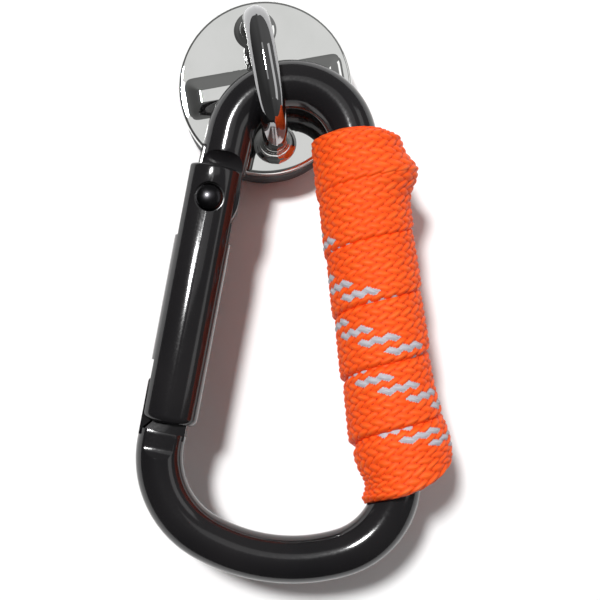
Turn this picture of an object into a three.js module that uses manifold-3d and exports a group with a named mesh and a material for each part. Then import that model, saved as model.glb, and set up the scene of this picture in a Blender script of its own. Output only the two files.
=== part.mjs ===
// A magnetic wall hook with a carabiner hanging in its eye.
// Millimetres. The wall is the plane Y = 0, the hook stands out of it towards -Y, and +Z is up.
// The origin is the centre of the rubber face that sits on the wall.

import * as THREE from 'three';
import { mergeVertices } from 'three/addons/utils/BufferGeometryUtils.js';
import Module from 'manifold-3d';

const wasm = await Module();
wasm.setup();

// ---------------------------------------------------------------- driving dimensions

const CLEARANCE = 0.3; // gap between pieces that touch or run in each other

// Magnet base
const BASE_RADIUS = 15.3; // widest radius of the cast cap
const CAP_FOOT_RADIUS = 15; // radius of the cap's rear edge
const CAP_THICKNESS = 4.2; // rear edge to front face
const CAP_EDGE_RADIUS = 1.6; // rounding between the face and the side
const CAP_FLOOR = 2.8; // metal left in front of the register for the cup
const RUBBER_RADIUS = 15.1;
const RUBBER_HEIGHT = 7.6; // wall to the cap's rear edge
const RUBBER_FLOOR = 0.8; // pad between the magnet and the wall
const CUP_RADIUS = 12.9;
const CUP_WALL = 1.6;
const SPACER_WALL = 1.1; // plastic ring between the cup and the magnet
const MAGNET_HOLE_RADIUS = 3.9;
const SCREW_RADIUS = 1.9;
const SCREW_HEAD_RADIUS = 3.4;
const SCREW_HEAD_HEIGHT = 1.9;
const SCREW_GRIP = 2.7; // length of thread in the cap

// Rib across the cap and the eye cast on it
const RIB_LENGTH = 27.4;
const RIB_WIDTH = 6.4;
const RIB_TOP_WIDTH = 2.2;
const RIB_HEIGHT = 1.4;
const EYE_BAR_RADIUS = 2;
const EYE_HALF_SPAN = 10.1; // centre of the cap to the middle of each foot
const EYE_HEIGHT = 15.4; // cap's face to the middle of the crown
const EYE_SQUARENESS = 3.2; // exponent of the arch: 2 is an ellipse
const EYE_FOOT_RADIUS = 3.1;
const EYE_FOOT_HEIGHT = 2.6;
const LEG_LEAN_FACTOR = 1.1; // the legs lean inwards, which widens their level section

// Carabiner rod. Bend radii are to the rod's centre line.
const ROD_RADIUS = 4;
const ROD_STAND_OFF = 8.6; // cap's face to the carabiner's middle plane
const TOP_BEND_RADIUS = 10.5;
const TOP_BEND_X = 2.25;
const SPINE_LENGTH = 56;
const SPINE_CORNER_RADIUS = 13;
const GATE_CORNER_RADIUS = 15.1;
const CORNER_SPACING = 11.4; // sideways distance between the two lower bends' centres
const CORNER_RISE = 4.9; // the gate side's bend lies this much higher
const BOTTOM_RADIUS = 30; // the shallow sag between the two lower bends
const HANG_ANGLE = THREE.MathUtils.degToRad(2.5); // lean of the spine as the carabiner hangs

// Gate, its hinge and its latch. Distances run down the gate from the hinge pin.
const GATE_RADIUS = 4.75;
const GATE_TOP = 5.4; // above the pin
const GATE_TIP = 38;
const GATE_EDGE = 0.8;
const GATE_TOP_SWING = 6.7; // the top's corners are turned to this radius about the pin
const HINGE_DROP = 11.9; // end of the top bend to the pin
const PIN_OUTSET = 0.8; // pin to the rod's centre line, outwards
const GATE_TOE_IN = THREE.MathUtils.degToRad(2); // the gate stands this much steeper than the rod
const TONGUE_THICKNESS = 4;
const HINGE_SLOT_END = 6.8;
const TONGUE_END = 4.3;
const NOSE_SLOT_START = 28;
const NOSE_TOP = 30.9;
const NOSE_OUTER = -4.45;
const NOSE_INNER = 3.2;
const NOSE_SHOULDER = 39.6;
const SHOULDER_THICKNESS = 6.4;
const SHOULDER_LENGTH = 2.6;
const RIVET_RADIUS = 1.3;
const RIVET_HEAD_RADIUS = 2.25;
const RIVET_HEAD_HEIGHT = 1;
const RIVET_SEAT = 3.9; // middle plane to the flat under each rivet head
const BORE_RADIUS = 2.1;
const BORE_END = 23.1;
const PLUNGER_HEAD_LENGTH = 4.8;
const PLUNGER_STEM_RADIUS = 0.85;
const PLUNGER_STEM_LENGTH = 4.5;
const SPRING_WIRE_RADIUS = 0.25;
const SPRING_COILS = 9;

// Cord wound round the spine
const CORD_THICKNESS = 3.3;
const WRAP_TOP = 1.2; // above the start of the spine
const WRAP_LENGTH = 58.6;
const WRAP_TURNS = 5.6;
const WRAP_START = THREE.MathUtils.degToRad(-100); // round from the front, at the lower end

const ROUND_SIDES = 48;
const PIN_SIDES = 24;
const ROD_SIDES = 20;
const ROD_STEPS = 72;

// ---------------------------------------------------------------- derived sizes

const capFaceY = -(RUBBER_HEIGHT + CAP_THICKNESS);
const cupFrontY = capFaceY + CAP_FLOOR + CLEARANCE;
const cupFloorY = cupFrontY + CUP_WALL;
const cupRimY = -(RUBBER_FLOOR + CLEARANCE);
const slotHalfWidth = TONGUE_THICKNESS / 2 + CLEARANCE;
const pinHoleRadius = RIVET_RADIUS + CLEARANCE;
const carabinerY = capFaceY - ROD_STAND_OFF;

// Half the distance between the eye's legs at a height above the cap's face.
function legOffset(height) {
  const out = (height / EYE_HEIGHT) ** EYE_SQUARENESS;
  return EYE_HALF_SPAN * (1 - out) ** (1 / EYE_SQUARENESS);
}

// The carabiner hangs on the lower leg of the eye. Its top bend is a ring round that leg, and
// at each height across the rod the ring's inside has to clear the leg.
function hangingBendZ() {
  let lowest = -Infinity;
  for (let offset = -0.9; offset <= 0.9; offset += 0.1) {
    const halfRod = ROD_RADIUS * Math.sqrt(1 - offset ** 2);
    const hangRadius = TOP_BEND_RADIUS - halfRod - EYE_BAR_RADIUS * LEG_LEAN_FACTOR - CLEARANCE;
    const legZ = -legOffset(ROD_STAND_OFF + offset * ROD_RADIUS);
    lowest = Math.max(lowest, legZ - Math.sqrt(hangRadius ** 2 - TOP_BEND_X ** 2));
  }
  return lowest;
}

const topBendZ = hangingBendZ();

// ---------------------------------------------------------------- solids and booleans

function solidOf(geometry) {
  const bare = geometry.clone();
  bare.deleteAttribute('normal');
  bare.deleteAttribute('uv');
  const merged = mergeVertices(bare, 1e-4);
  return new wasm.Manifold(new wasm.Mesh({
    numProp: 3,
    vertProperties: new Float32Array(merged.attributes.position.array),
    triVerts: new Uint32Array(merged.index.array),
  }));
}

function geometryOf(solid) {
  const mesh = solid.getMesh();
  const geometry = new THREE.BufferGeometry();
  geometry.setAttribute('position', new THREE.BufferAttribute(mesh.vertProperties, 3));
  geometry.setIndex(new THREE.BufferAttribute(mesh.triVerts, 1));
  geometry.computeVertexNormals();
  return geometry;
}

function joined(...geometries) {
  return geometries.map(solidOf).reduce((whole, next) => whole.add(next));
}

function without(solid, ...cutters) {
  return cutters.map(solidOf).reduce((rest, cutter) => rest.subtract(cutter), solid);
}

function part(name, geometry, color, roughness, metalness) {
  const material = new THREE.MeshStandardMaterial({ color, roughness, metalness });
  const mesh = new THREE.Mesh(geometry, material);
  mesh.name = name;
  return mesh;
}

// ---------------------------------------------------------------- basic shapes

// A solid turned about the Y axis from [radius, y] corners. They run from the front, at low y,
// outwards and back.
function turned(corners, sides = ROUND_SIDES) {
  const points = corners.map(([radius, y]) => new THREE.Vector2(radius, y));
  return new THREE.LatheGeometry(points, sides);
}

// The corners of a ring with square edges, for turned().
function ringCorners(inner, outer, front, back) {
  return [[inner, front], [outer, front], [outer, back], [inner, back], [inner, front]];
}

function cylinderY(radius, from, to, sides = PIN_SIDES) {
  const geometry = new THREE.CylinderGeometry(radius, radius, to - from, sides);
  return geometry.translate(0, (from + to) / 2, 0);
}

function cylinderZ(radius, from, to, sides = PIN_SIDES) {
  const geometry = new THREE.CylinderGeometry(radius, radius, to - from, sides);
  return geometry.rotateX(Math.PI / 2).translate(0, 0, (from + to) / 2);
}

function cylinderX(radius, from, to, sides = PIN_SIDES) {
  const geometry = new THREE.CylinderGeometry(radius, radius, to - from, sides);
  return geometry.rotateZ(Math.PI / 2).translate((from + to) / 2, 0, 0);
}

function block(x0, x1, y0, y1, z0, z1) {
  const geometry = new THREE.BoxGeometry(x1 - x0, y1 - y0, z1 - z0);
  return geometry.translate((x0 + x1) / 2, (y0 + y1) / 2, (z0 + z1) / 2);
}

// A plate whose outline lies in the XZ plane, centred on Y = 0.
function plate(outline, thickness) {
  const geometry = new THREE.ExtrudeGeometry(outline, {
    depth: thickness, bevelEnabled: false, curveSegments: 8,
  });
  return geometry.rotateX(Math.PI / 2).translate(0, thickness / 2, 0);
}

function circleShape(radius, sides) {
  const shape = new THREE.Shape();
  for (let i = 0; i < sides; i++) {
    const angle = (2 * Math.PI * i) / sides;
    const x = radius * Math.cos(angle);
    const y = radius * Math.sin(angle);
    if (i === 0) shape.moveTo(x, y);
    else shape.lineTo(x, y);
  }
  shape.closePath();
  return shape;
}

function sweptRod(curve, radius, sides, steps) {
  return new THREE.ExtrudeGeometry(circleShape(radius, sides), { extrudePath: curve, steps });
}

// An arc in the XZ plane. Angles are measured from +X towards +Z.
class PlaneArc extends THREE.Curve {
  constructor(centre, radius, startAngle, endAngle) {
    super();
    this.centre = centre;
    this.radius = radius;
    this.startAngle = startAngle;
    this.endAngle = endAngle;
  }

  getPoint(t, target = new THREE.Vector3()) {
    const angle = this.startAngle + t * (this.endAngle - this.startAngle);
    return target.set(
      this.centre.x + this.radius * Math.cos(angle),
      0,
      this.centre.y + this.radius * Math.sin(angle),
    );
  }
}

// A helix about the Z axis. It starts at startZ and startAngle and its angle is 0 on the -Y side.
class Helix extends THREE.Curve {
  constructor(radius, startZ, endZ, startAngle, turns) {
    super();
    this.radius = radius;
    this.startZ = startZ;
    this.endZ = endZ;
    this.startAngle = startAngle;
    this.turns = turns;
  }

  angleAt(t) {
    return this.startAngle + t * this.turns * 2 * Math.PI;
  }

  getPoint(t, target = new THREE.Vector3()) {
    const angle = this.angleAt(t);
    const z = this.startZ + t * (this.endZ - this.startZ);
    return target.set(this.radius * Math.sin(angle), -this.radius * Math.cos(angle), z);
  }
}

// A helix whose section keeps one side facing the axis, as a flat cord does.
class FlatHelix extends Helix {
  computeFrenetFrames(segments) {
    const frames = { tangents: [], normals: [], binormals: [] };
    for (let i = 0; i <= segments; i++) {
      const angle = this.angleAt(i / segments);
      frames.tangents.push(this.getTangent(i / segments));
      frames.normals.push(new THREE.Vector3(Math.sin(angle), -Math.cos(angle), 0));
      frames.binormals.push(new THREE.Vector3(0, 0, -1));
    }
    return frames;
  }
}

// ---------------------------------------------------------------- magnet base

function ribGeometry() {
  const slope = (RIB_WIDTH - RIB_TOP_WIDTH) / 2;
  const halfLength = RIB_LENGTH / 2 - slope;
  const halfWidth = RIB_TOP_WIDTH / 2;
  const corner = halfWidth * 0.8;
  const shape = new THREE.Shape();
  shape.moveTo(-halfLength + corner, -halfWidth);
  shape.lineTo(halfLength - corner, -halfWidth);
  shape.absarc(halfLength - corner, -halfWidth + corner, corner, -Math.PI / 2, 0);
  shape.absarc(halfLength - corner, halfWidth - corner, corner, 0, Math.PI / 2);
  shape.absarc(-halfLength + corner, halfWidth - corner, corner, Math.PI / 2, Math.PI);
  shape.absarc(-halfLength + corner, -halfWidth + corner, corner, Math.PI, Math.PI * 1.5);
  const sunk = 0.5; // depth that the rib's root reaches into the cap
  const geometry = new THREE.ExtrudeGeometry(shape, {
    depth: sunk,
    bevelThickness: RIB_HEIGHT,
    bevelSize: slope,
    bevelSegments: 1,
    curveSegments: 4,
  });
  // The bevel at the root end is mirrored inside the cap.
  return geometry.rotateX(Math.PI / 2).translate(0, capFaceY + sunk, 0);
}

class EyeArch extends THREE.Curve {
  getPoint(t, target = new THREE.Vector3()) {
    const sunk = 1; // length of each leg inside the cap
    const angle = Math.PI * t;
    const power = 2 / EYE_SQUARENESS;
    const across = Math.sign(Math.cos(angle)) * Math.abs(Math.cos(angle)) ** power;
    const out = Math.abs(Math.sin(angle)) ** power;
    return target.set(
      0,
      capFaceY + sunk - (EYE_HEIGHT + sunk) * out,
      EYE_HALF_SPAN * across,
    );
  }
}

function eyeFoot(side) {
  const sunk = 1;
  const corners = [
    [0, -EYE_FOOT_HEIGHT],
    [EYE_BAR_RADIUS, -EYE_FOOT_HEIGHT],
    [EYE_BAR_RADIUS + 0.2, -EYE_FOOT_HEIGHT * 0.5],
    [EYE_FOOT_RADIUS, 0],
    [EYE_FOOT_RADIUS, sunk],
    [0, sunk],
  ];
  return turned(corners, ROD_SIDES).translate(0, capFaceY, side * EYE_HALF_SPAN);
}

function castBase() {
  const edge = [];
  const edgeSteps = 5;
  for (let i = 0; i <= edgeSteps; i++) {
    const angle = (Math.PI / 2) * (i / edgeSteps);
    edge.push([
      BASE_RADIUS - CAP_EDGE_RADIUS * (1 - Math.sin(angle)),
      capFaceY + CAP_EDGE_RADIUS * (1 - Math.cos(angle)),
    ]);
  }
  const cap = turned([
    [0, capFaceY],
    ...edge,
    [CAP_FOOT_RADIUS, -RUBBER_HEIGHT],
    [CUP_RADIUS + CLEARANCE, -RUBBER_HEIGHT],
    [CUP_RADIUS + CLEARANCE, capFaceY + CAP_FLOOR],
    [0, capFaceY + CAP_FLOOR],
  ]);
  const arch = sweptRod(new EyeArch(), EYE_BAR_RADIUS, ROD_SIDES, 36);
  const solid = joined(cap, ribGeometry(), arch, eyeFoot(1), eyeFoot(-1));
  const threadDepth = SCREW_GRIP + CLEARANCE;
  const register = capFaceY + CAP_FLOOR;
  const hole = cylinderY(SCREW_RADIUS + CLEARANCE, register - threadDepth, register + 1);
  return part('cast_base', geometryOf(without(solid, hole)), 0xc3c5c1, 0.12, 1);
}

function steelCup() {
  const geometry = turned([
    [SCREW_RADIUS + CLEARANCE, cupFrontY],
    [CUP_RADIUS, cupFrontY],
    [CUP_RADIUS, cupRimY],
    [CUP_RADIUS - CUP_WALL, cupRimY],
    [CUP_RADIUS - CUP_WALL, cupFloorY],
    [SCREW_RADIUS + CLEARANCE, cupFloorY],
    [SCREW_RADIUS + CLEARANCE, cupFrontY],
  ]);
  return part('steel_cup', geometry, 0x9a9c9e, 0.35, 1);
}

function spacerRing() {
  const outer = CUP_RADIUS - CUP_WALL - CLEARANCE;
  const corners = ringCorners(outer - SPACER_WALL, outer, cupFloorY + CLEARANCE, cupRimY);
  return part('spacer_ring', turned(corners), 0x2a2a2c, 0.6, 0);
}

function ringMagnet() {
  const outer = CUP_RADIUS - CUP_WALL - SPACER_WALL - 2 * CLEARANCE;
  const corners = ringCorners(MAGNET_HOLE_RADIUS, outer, cupFloorY + CLEARANCE, cupRimY);
  return part('ring_magnet', turned(corners), 0xb4b6b8, 0.25, 1);
}

function cupScrew() {
  const headFront = cupFloorY + CLEARANCE;
  const headBack = headFront + SCREW_HEAD_HEIGHT;
  const tip = capFaceY + CAP_FLOOR - SCREW_GRIP;
  const solid = joined(turned([
    [0, tip],
    [SCREW_RADIUS, tip],
    [SCREW_RADIUS, headFront],
    [SCREW_HEAD_RADIUS, headFront],
    [SCREW_HEAD_RADIUS, headBack - 0.4],
    [SCREW_HEAD_RADIUS - 0.5, headBack],
    [0, headBack],
  ], PIN_SIDES));
  const socket = new THREE.CylinderGeometry(1.3, 1.3, 2, 6).translate(0, headBack, 0);
  return part('cup_screw', geometryOf(without(solid, socket)), 0x8d8f92, 0.3, 1);
}

function rubberBoot() {
  const front = -RUBBER_HEIGHT + CLEARANCE;
  const geometry = turned([
    [CUP_RADIUS + CLEARANCE, front],
    [RUBBER_RADIUS - 0.3, front],
    [RUBBER_RADIUS, front + 0.3],
    [RUBBER_RADIUS, -0.6],
    [RUBBER_RADIUS - 0.6, 0],
    [0, 0],
    [0, -RUBBER_FLOOR],
    [CUP_RADIUS + CLEARANCE, -RUBBER_FLOOR],
    [CUP_RADIUS + CLEARANCE, front],
  ]);
  return part('rubber_boot', geometry, 0x141416, 0.75, 0);
}

// ---------------------------------------------------------------- the rod's centre line

// The rod runs round three circles like a belt. This is the angle, at both circles, of the
// points where the straight from the first circle to the second touches them.
function beltAngle(centreA, radiusA, centreB, radiusB) {
  const between = centreB.clone().sub(centreA);
  return between.angle() + Math.acos((radiusA - radiusB) / between.length());
}

// The centre, on the upper side, of a circle that holds circles A and B and touches both inside.
function innerTangentCentre(centreA, radiusA, centreB, radiusB, radius) {
  const reachA = radius - radiusA;
  const reachB = radius - radiusB;
  const across = centreB.clone().sub(centreA);
  const spacing = across.length();
  const along = (reachA ** 2 - reachB ** 2 + spacing ** 2) / (2 * spacing);
  const aside = Math.sqrt(reachA ** 2 - along ** 2);
  across.normalize();
  return new THREE.Vector2(
    centreA.x + across.x * along + across.y * aside,
    centreA.y + across.y * along - across.x * aside,
  );
}

function onCircle(centre, radius, angle) {
  return new THREE.Vector3(
    centre.x + radius * Math.cos(angle),
    0,
    centre.y + radius * Math.sin(angle),
  );
}

const FULL_TURN = 2 * Math.PI;
const topCentre = new THREE.Vector2(0, 0);
const spineX = TOP_BEND_RADIUS;
const spineCorner = new THREE.Vector2(spineX - SPINE_CORNER_RADIUS, -SPINE_LENGTH);
const gateCorner = new THREE.Vector2(
  spineCorner.x - CORNER_SPACING,
  spineCorner.y + CORNER_RISE,
);
const sagCentre = innerTangentCentre(
  spineCorner, SPINE_CORNER_RADIUS, gateCorner, GATE_CORNER_RADIUS, BOTTOM_RADIUS,
);
const sagStart = spineCorner.clone().sub(sagCentre).angle() - FULL_TURN;
const sagEnd = gateCorner.clone().sub(sagCentre).angle() - FULL_TURN;
const gateAngle = beltAngle(gateCorner, GATE_CORNER_RADIUS, topCentre, TOP_BEND_RADIUS);
const rodLean = Math.PI - gateAngle; // on the gate side, from straight down towards -X
const rodDirection = new THREE.Vector3(-Math.sin(rodLean), 0, -Math.cos(rodLean));
const outwards = new THREE.Vector3(-Math.cos(rodLean), 0, Math.sin(rodLean));
const topBendEnd = onCircle(topCentre, TOP_BEND_RADIUS, gateAngle);
const pinPlace = topBendEnd.clone()
  .addScaledVector(rodDirection, HINGE_DROP)
  .addScaledVector(outwards, PIN_OUTSET);
const gateLean = rodLean - GATE_TOE_IN;
const gateFrame = new THREE.Matrix4().makeRotationY(gateLean).setPosition(pinPlace);

function rodPath() {
  const hingeEnd = topBendEnd.clone().addScaledVector(rodDirection, HINGE_DROP - GATE_TOP);
  const noseEnd = topBendEnd.clone().addScaledVector(rodDirection, HINGE_DROP + NOSE_SHOULDER);
  const spineTop = onCircle(topCentre, TOP_BEND_RADIUS, 0);
  const spineFoot = onCircle(spineCorner, SPINE_CORNER_RADIUS, 0);
  const lowerBendEnd = onCircle(gateCorner, GATE_CORNER_RADIUS, gateAngle);
  const path = new THREE.CurvePath();
  path.add(new THREE.LineCurve3(hingeEnd, topBendEnd));
  path.add(new PlaneArc(topCentre, TOP_BEND_RADIUS, gateAngle, 0));
  path.add(new THREE.LineCurve3(spineTop, spineFoot));
  path.add(new PlaneArc(spineCorner, SPINE_CORNER_RADIUS, 0, sagStart));
  path.add(new PlaneArc(sagCentre, BOTTOM_RADIUS, sagStart, sagEnd));
  path.add(new PlaneArc(gateCorner, GATE_CORNER_RADIUS, sagEnd, gateAngle - FULL_TURN));
  path.add(new THREE.LineCurve3(lowerBendEnd, noseEnd));
  return path;
}

// ---------------------------------------------------------------- carabiner body

// Shapes below are drawn in the gate's frame: the pin is the origin, +X points into the
// carabiner and -Z runs down the gate.

// Cutters that mill the rod down from both faces to a flat, with a round cove at its end.
// direction is +1 where the flat lies below coveAt and -1 where it lies above.
function flatCutters(thickness, coveAt, reach, direction, coveRadius) {
  const half = thickness / 2;
  const far = ROD_RADIUS + 2;
  const cutters = [];
  for (const side of [-1, 1]) {
    const near = Math.min(side * half, side * far);
    const away = Math.max(side * half, side * far);
    const z0 = Math.min(-coveAt, -coveAt - direction * reach);
    const z1 = Math.max(-coveAt, -coveAt - direction * reach);
    cutters.push(block(-far - 1, far + 1, near, away, z0, z1));
    cutters.push(cylinderX(coveRadius, -far - 1, far + 1)
      .translate(0, side * (half + coveRadius), -coveAt));
  }
  return cutters;
}

function hingeTongue() {
  const shape = new THREE.Shape();
  const root = GATE_TOP + 3.5;
  shape.moveTo(-ROD_RADIUS, root);
  shape.lineTo(-ROD_RADIUS, 0);
  shape.quadraticCurveTo(-ROD_RADIUS, -TONGUE_END, -1.6, -TONGUE_END);
  shape.lineTo(3, -TONGUE_END);
  shape.lineTo(3.8, -TONGUE_END + 1.1);
  shape.lineTo(4.9, -0.6);
  shape.lineTo(4.6, 4);
  shape.lineTo(ROD_RADIUS - 0.1, root);
  shape.closePath();
  return plate(shape, TONGUE_THICKNESS);
}

function noseTongue() {
  const corner = 0.7;
  const shape = new THREE.Shape();
  shape.moveTo(NOSE_OUTER, -NOSE_SHOULDER - 1);
  shape.lineTo(NOSE_INNER, -NOSE_SHOULDER - 1);
  shape.lineTo(NOSE_INNER, -NOSE_TOP - corner);
  shape.lineTo(NOSE_INNER - corner, -NOSE_TOP);
  shape.lineTo(NOSE_OUTER + corner, -NOSE_TOP);
  shape.lineTo(NOSE_OUTER, -NOSE_TOP - corner);
  shape.closePath();
  return plate(shape, TONGUE_THICKNESS);
}

function carabinerBody() {
  const rod = solidOf(sweptRod(rodPath(), ROD_RADIUS, ROD_SIDES, ROD_STEPS));
  const hingeCoveAt = -(GATE_TOP + 1.9);
  const shoulderCoveAt = NOSE_SHOULDER + SHOULDER_LENGTH;
  const cutters = [
    ...flatCutters(TONGUE_THICKNESS, hingeCoveAt, 6, 1, ROD_RADIUS - TONGUE_THICKNESS / 2),
    ...flatCutters(SHOULDER_THICKNESS, shoulderCoveAt, 6, -1, ROD_RADIUS - SHOULDER_THICKNESS / 2),
  ].map((cutter) => cutter.applyMatrix4(gateFrame));
  const milled = without(rod, ...cutters)
    .add(solidOf(hingeTongue().applyMatrix4(gateFrame)))
    .add(solidOf(noseTongue().applyMatrix4(gateFrame)));
  const pinHole = cylinderY(pinHoleRadius, -ROD_RADIUS, ROD_RADIUS).applyMatrix4(gateFrame);
  return part('carabiner_body', geometryOf(without(milled, pinHole)), 0x1b1a1d, 0.28, 0.4);
}

// ---------------------------------------------------------------- gate

function gateTube() {
  const blank = turned([
    [0, -GATE_TIP],
    [GATE_RADIUS - GATE_EDGE, -GATE_TIP],
    [GATE_RADIUS, -GATE_TIP + GATE_EDGE],
    [GATE_RADIUS, GATE_TOP - GATE_EDGE],
    [GATE_RADIUS - GATE_EDGE, GATE_TOP],
    [0, GATE_TOP],
  ], ROUND_SIDES).rotateX(Math.PI / 2);
  const topEnvelope = joined(
    cylinderY(GATE_TOP_SWING, -GATE_RADIUS - 1, GATE_RADIUS + 1, ROUND_SIDES),
    block(-GATE_RADIUS - 1, GATE_RADIUS + 1, -GATE_RADIUS - 1, GATE_RADIUS + 1, -GATE_TIP - 1, 0),
  );
  const far = GATE_RADIUS + 1;
  const hingeSlot = block(-far, far, -slotHalfWidth, slotHalfWidth, -HINGE_SLOT_END, far + 1);
  const noseSlot = block(
    -far, NOSE_INNER + CLEARANCE, -slotHalfWidth, slotHalfWidth, -GATE_TIP - 1, -NOSE_SLOT_START,
  );
  const bore = cylinderZ(BORE_RADIUS, -BORE_END, -HINGE_SLOT_END + 1);
  const pinHole = cylinderY(pinHoleRadius, -far, far);
  const seatRadius = RIVET_HEAD_RADIUS + CLEARANCE;
  const solid = without(
    solidOf(blank).intersect(topEnvelope),
    hingeSlot,
    noseSlot,
    bore,
    pinHole,
    cylinderY(seatRadius, -far, -RIVET_SEAT),
    cylinderY(seatRadius, RIVET_SEAT, far),
  );
  return part('gate', geometryOf(solid), 0x1b1a1d, 0.28, 0.4);
}

function hingeRivet() {
  const seat = RIVET_SEAT + CLEARANCE;
  const dome = [];
  const domeSteps = 4;
  for (let i = 0; i <= domeSteps; i++) {
    const angle = (Math.PI / 2) * (i / domeSteps);
    dome.push([RIVET_HEAD_RADIUS * Math.sin(angle), seat + RIVET_HEAD_HEIGHT * Math.cos(angle)]);
  }
  const frontHead = dome.map(([radius, y]) => [radius, -y]);
  const backHead = [...dome].reverse();
  const corners = [...frontHead, [RIVET_RADIUS, -seat], [RIVET_RADIUS, seat], ...backHead];
  return part('hinge_rivet', turned(corners, PIN_SIDES), 0x1b1a1d, 0.3, 0.4);
}

const plungerTop = TONGUE_END + CLEARANCE;
const springTop = plungerTop + PLUNGER_HEAD_LENGTH + CLEARANCE;

function gatePlunger() {
  const headRadius = BORE_RADIUS - CLEARANCE;
  const headEnd = plungerTop + PLUNGER_HEAD_LENGTH;
  const geometry = turned([
    [0, -headEnd - PLUNGER_STEM_LENGTH],
    [PLUNGER_STEM_RADIUS, -headEnd - PLUNGER_STEM_LENGTH],
    [PLUNGER_STEM_RADIUS, -headEnd],
    [headRadius, -headEnd],
    [headRadius, -plungerTop - 0.4],
    [headRadius - 0.4, -plungerTop],
    [0, -plungerTop],
  ], PIN_SIDES).rotateX(Math.PI / 2);
  return part('gate_plunger', geometry, 0xa8aaac, 0.3, 1);
}

function gateSpring() {
  const coilRadius = BORE_RADIUS - CLEARANCE - SPRING_WIRE_RADIUS - 0.1;
  const top = springTop + SPRING_WIRE_RADIUS;
  const foot = BORE_END - CLEARANCE - SPRING_WIRE_RADIUS;
  const helix = new Helix(coilRadius, -top, -foot, 0, SPRING_COILS);
  const geometry = sweptRod(helix, SPRING_WIRE_RADIUS, 6, SPRING_COILS * 10);
  return part('gate_spring', geometry, 0xb8babc, 0.3, 1);
}

// ---------------------------------------------------------------- cord wrap

function cordWrap() {
  const pitch = (WRAP_LENGTH + CLEARANCE) / (WRAP_TURNS + 1);
  const width = pitch - CLEARANCE;
  const innerRadius = ROD_RADIUS + CLEARANCE;
  const halfWidth = width / 2;
  const halfThickness = CORD_THICKNESS / 2;
  const corner = 0.9;
  const shape = new THREE.Shape();
  shape.moveTo(-halfThickness, -halfWidth);
  shape.lineTo(halfThickness - corner, -halfWidth);
  shape.lineTo(halfThickness, -halfWidth + corner);
  shape.lineTo(halfThickness, halfWidth - corner);
  shape.lineTo(halfThickness - corner, halfWidth);
  shape.lineTo(-halfThickness, halfWidth);
  shape.closePath();
  const low = WRAP_TOP - WRAP_LENGTH + halfWidth;
  const high = WRAP_TOP - halfWidth;
  const helix = new FlatHelix(innerRadius + halfThickness, low, high, WRAP_START, WRAP_TURNS);
  const steps = Math.round(WRAP_TURNS * 22);
  const geometry = new THREE.ExtrudeGeometry(shape, { extrudePath: helix, steps });
  const mesh = part('cord_wrap', geometry, 0xff5f1e, 0.8, 0);
  mesh.position.set(spineX, 0, 0);
  return mesh;
}

// ---------------------------------------------------------------- assembly

const magnetBase = new THREE.Group();
magnetBase.add(castBase(), steelCup(), spacerRing(), ringMagnet(), cupScrew(), rubberBoot());

const gateAssembly = new THREE.Group();
gateAssembly.position.copy(pinPlace);
gateAssembly.rotation.y = gateLean;
gateAssembly.add(gateTube(), hingeRivet(), gatePlunger(), gateSpring());

const carabiner = new THREE.Group();
carabiner.position.set(TOP_BEND_X, carabinerY, topBendZ);
carabiner.rotation.y = HANG_ANGLE;
carabiner.add(carabinerBody(), gateAssembly, cordWrap());

const hook = new THREE.Group();
hook.add(magnetBase, carabiner);

export default hook;
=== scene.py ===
import math

import bmesh
import bpy
import numpy as np
from mathutils import Matrix, Vector


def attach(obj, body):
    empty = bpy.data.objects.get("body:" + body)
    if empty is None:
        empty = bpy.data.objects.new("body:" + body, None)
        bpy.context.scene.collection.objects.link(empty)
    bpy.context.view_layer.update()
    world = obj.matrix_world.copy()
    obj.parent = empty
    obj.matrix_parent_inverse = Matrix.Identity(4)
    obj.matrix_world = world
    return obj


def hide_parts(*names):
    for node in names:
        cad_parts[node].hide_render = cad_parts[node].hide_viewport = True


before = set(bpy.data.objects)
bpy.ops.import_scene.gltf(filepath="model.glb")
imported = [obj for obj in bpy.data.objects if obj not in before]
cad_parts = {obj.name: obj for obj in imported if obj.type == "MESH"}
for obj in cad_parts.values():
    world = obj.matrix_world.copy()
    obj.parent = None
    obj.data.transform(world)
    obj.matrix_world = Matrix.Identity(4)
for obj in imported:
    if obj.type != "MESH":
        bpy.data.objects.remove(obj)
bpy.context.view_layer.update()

# Lengths are in millimetres, and MM turns them into Blender's metres. The wall is the plane
# y = 0, the hook stands out of it towards -y and +z is up. Names and sizes follow part.mjs.

MM = 0.001
CAP_FACE = -11.8
MIDDLE_Y = -20.4          # the carabiner's middle plane
ROD_RADIUS = 4.0
TOP_BEND = (2.25, -12.80)  # centre of the top bend, x and z
TOP_RADIUS = 10.5
SPINE_LENGTH = 56.0
SPINE_CORNER = 13.0
GATE_CORNER = 15.1
CORNER_SPACING = 11.4
CORNER_RISE = 4.9
BOTTOM_RADIUS = 30.0
HANG_ANGLE = math.radians(2.5)
HINGE_DROP = 11.9
PIN_OUTSET = 0.8
GATE_TOE_IN = math.radians(2)
PHOTO_ROLL = math.radians(10)


def photo_axes(across, y, up):
    """A point given along the photo's own right and up directions."""
    c, s = math.cos(PHOTO_ROLL), math.sin(PHOTO_ROLL)
    return Vector((across * c + up * s, y, up * c - across * s))


# ---------------------------------------------------------------- camera

CAMERA_DISTANCE = 200.0   # to the cap's face
IMAGE_WIDTH = 600
LENS_PIXELS = 1136.8
VANISHING = (267, 376)    # where the wall's normal points in the image

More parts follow.
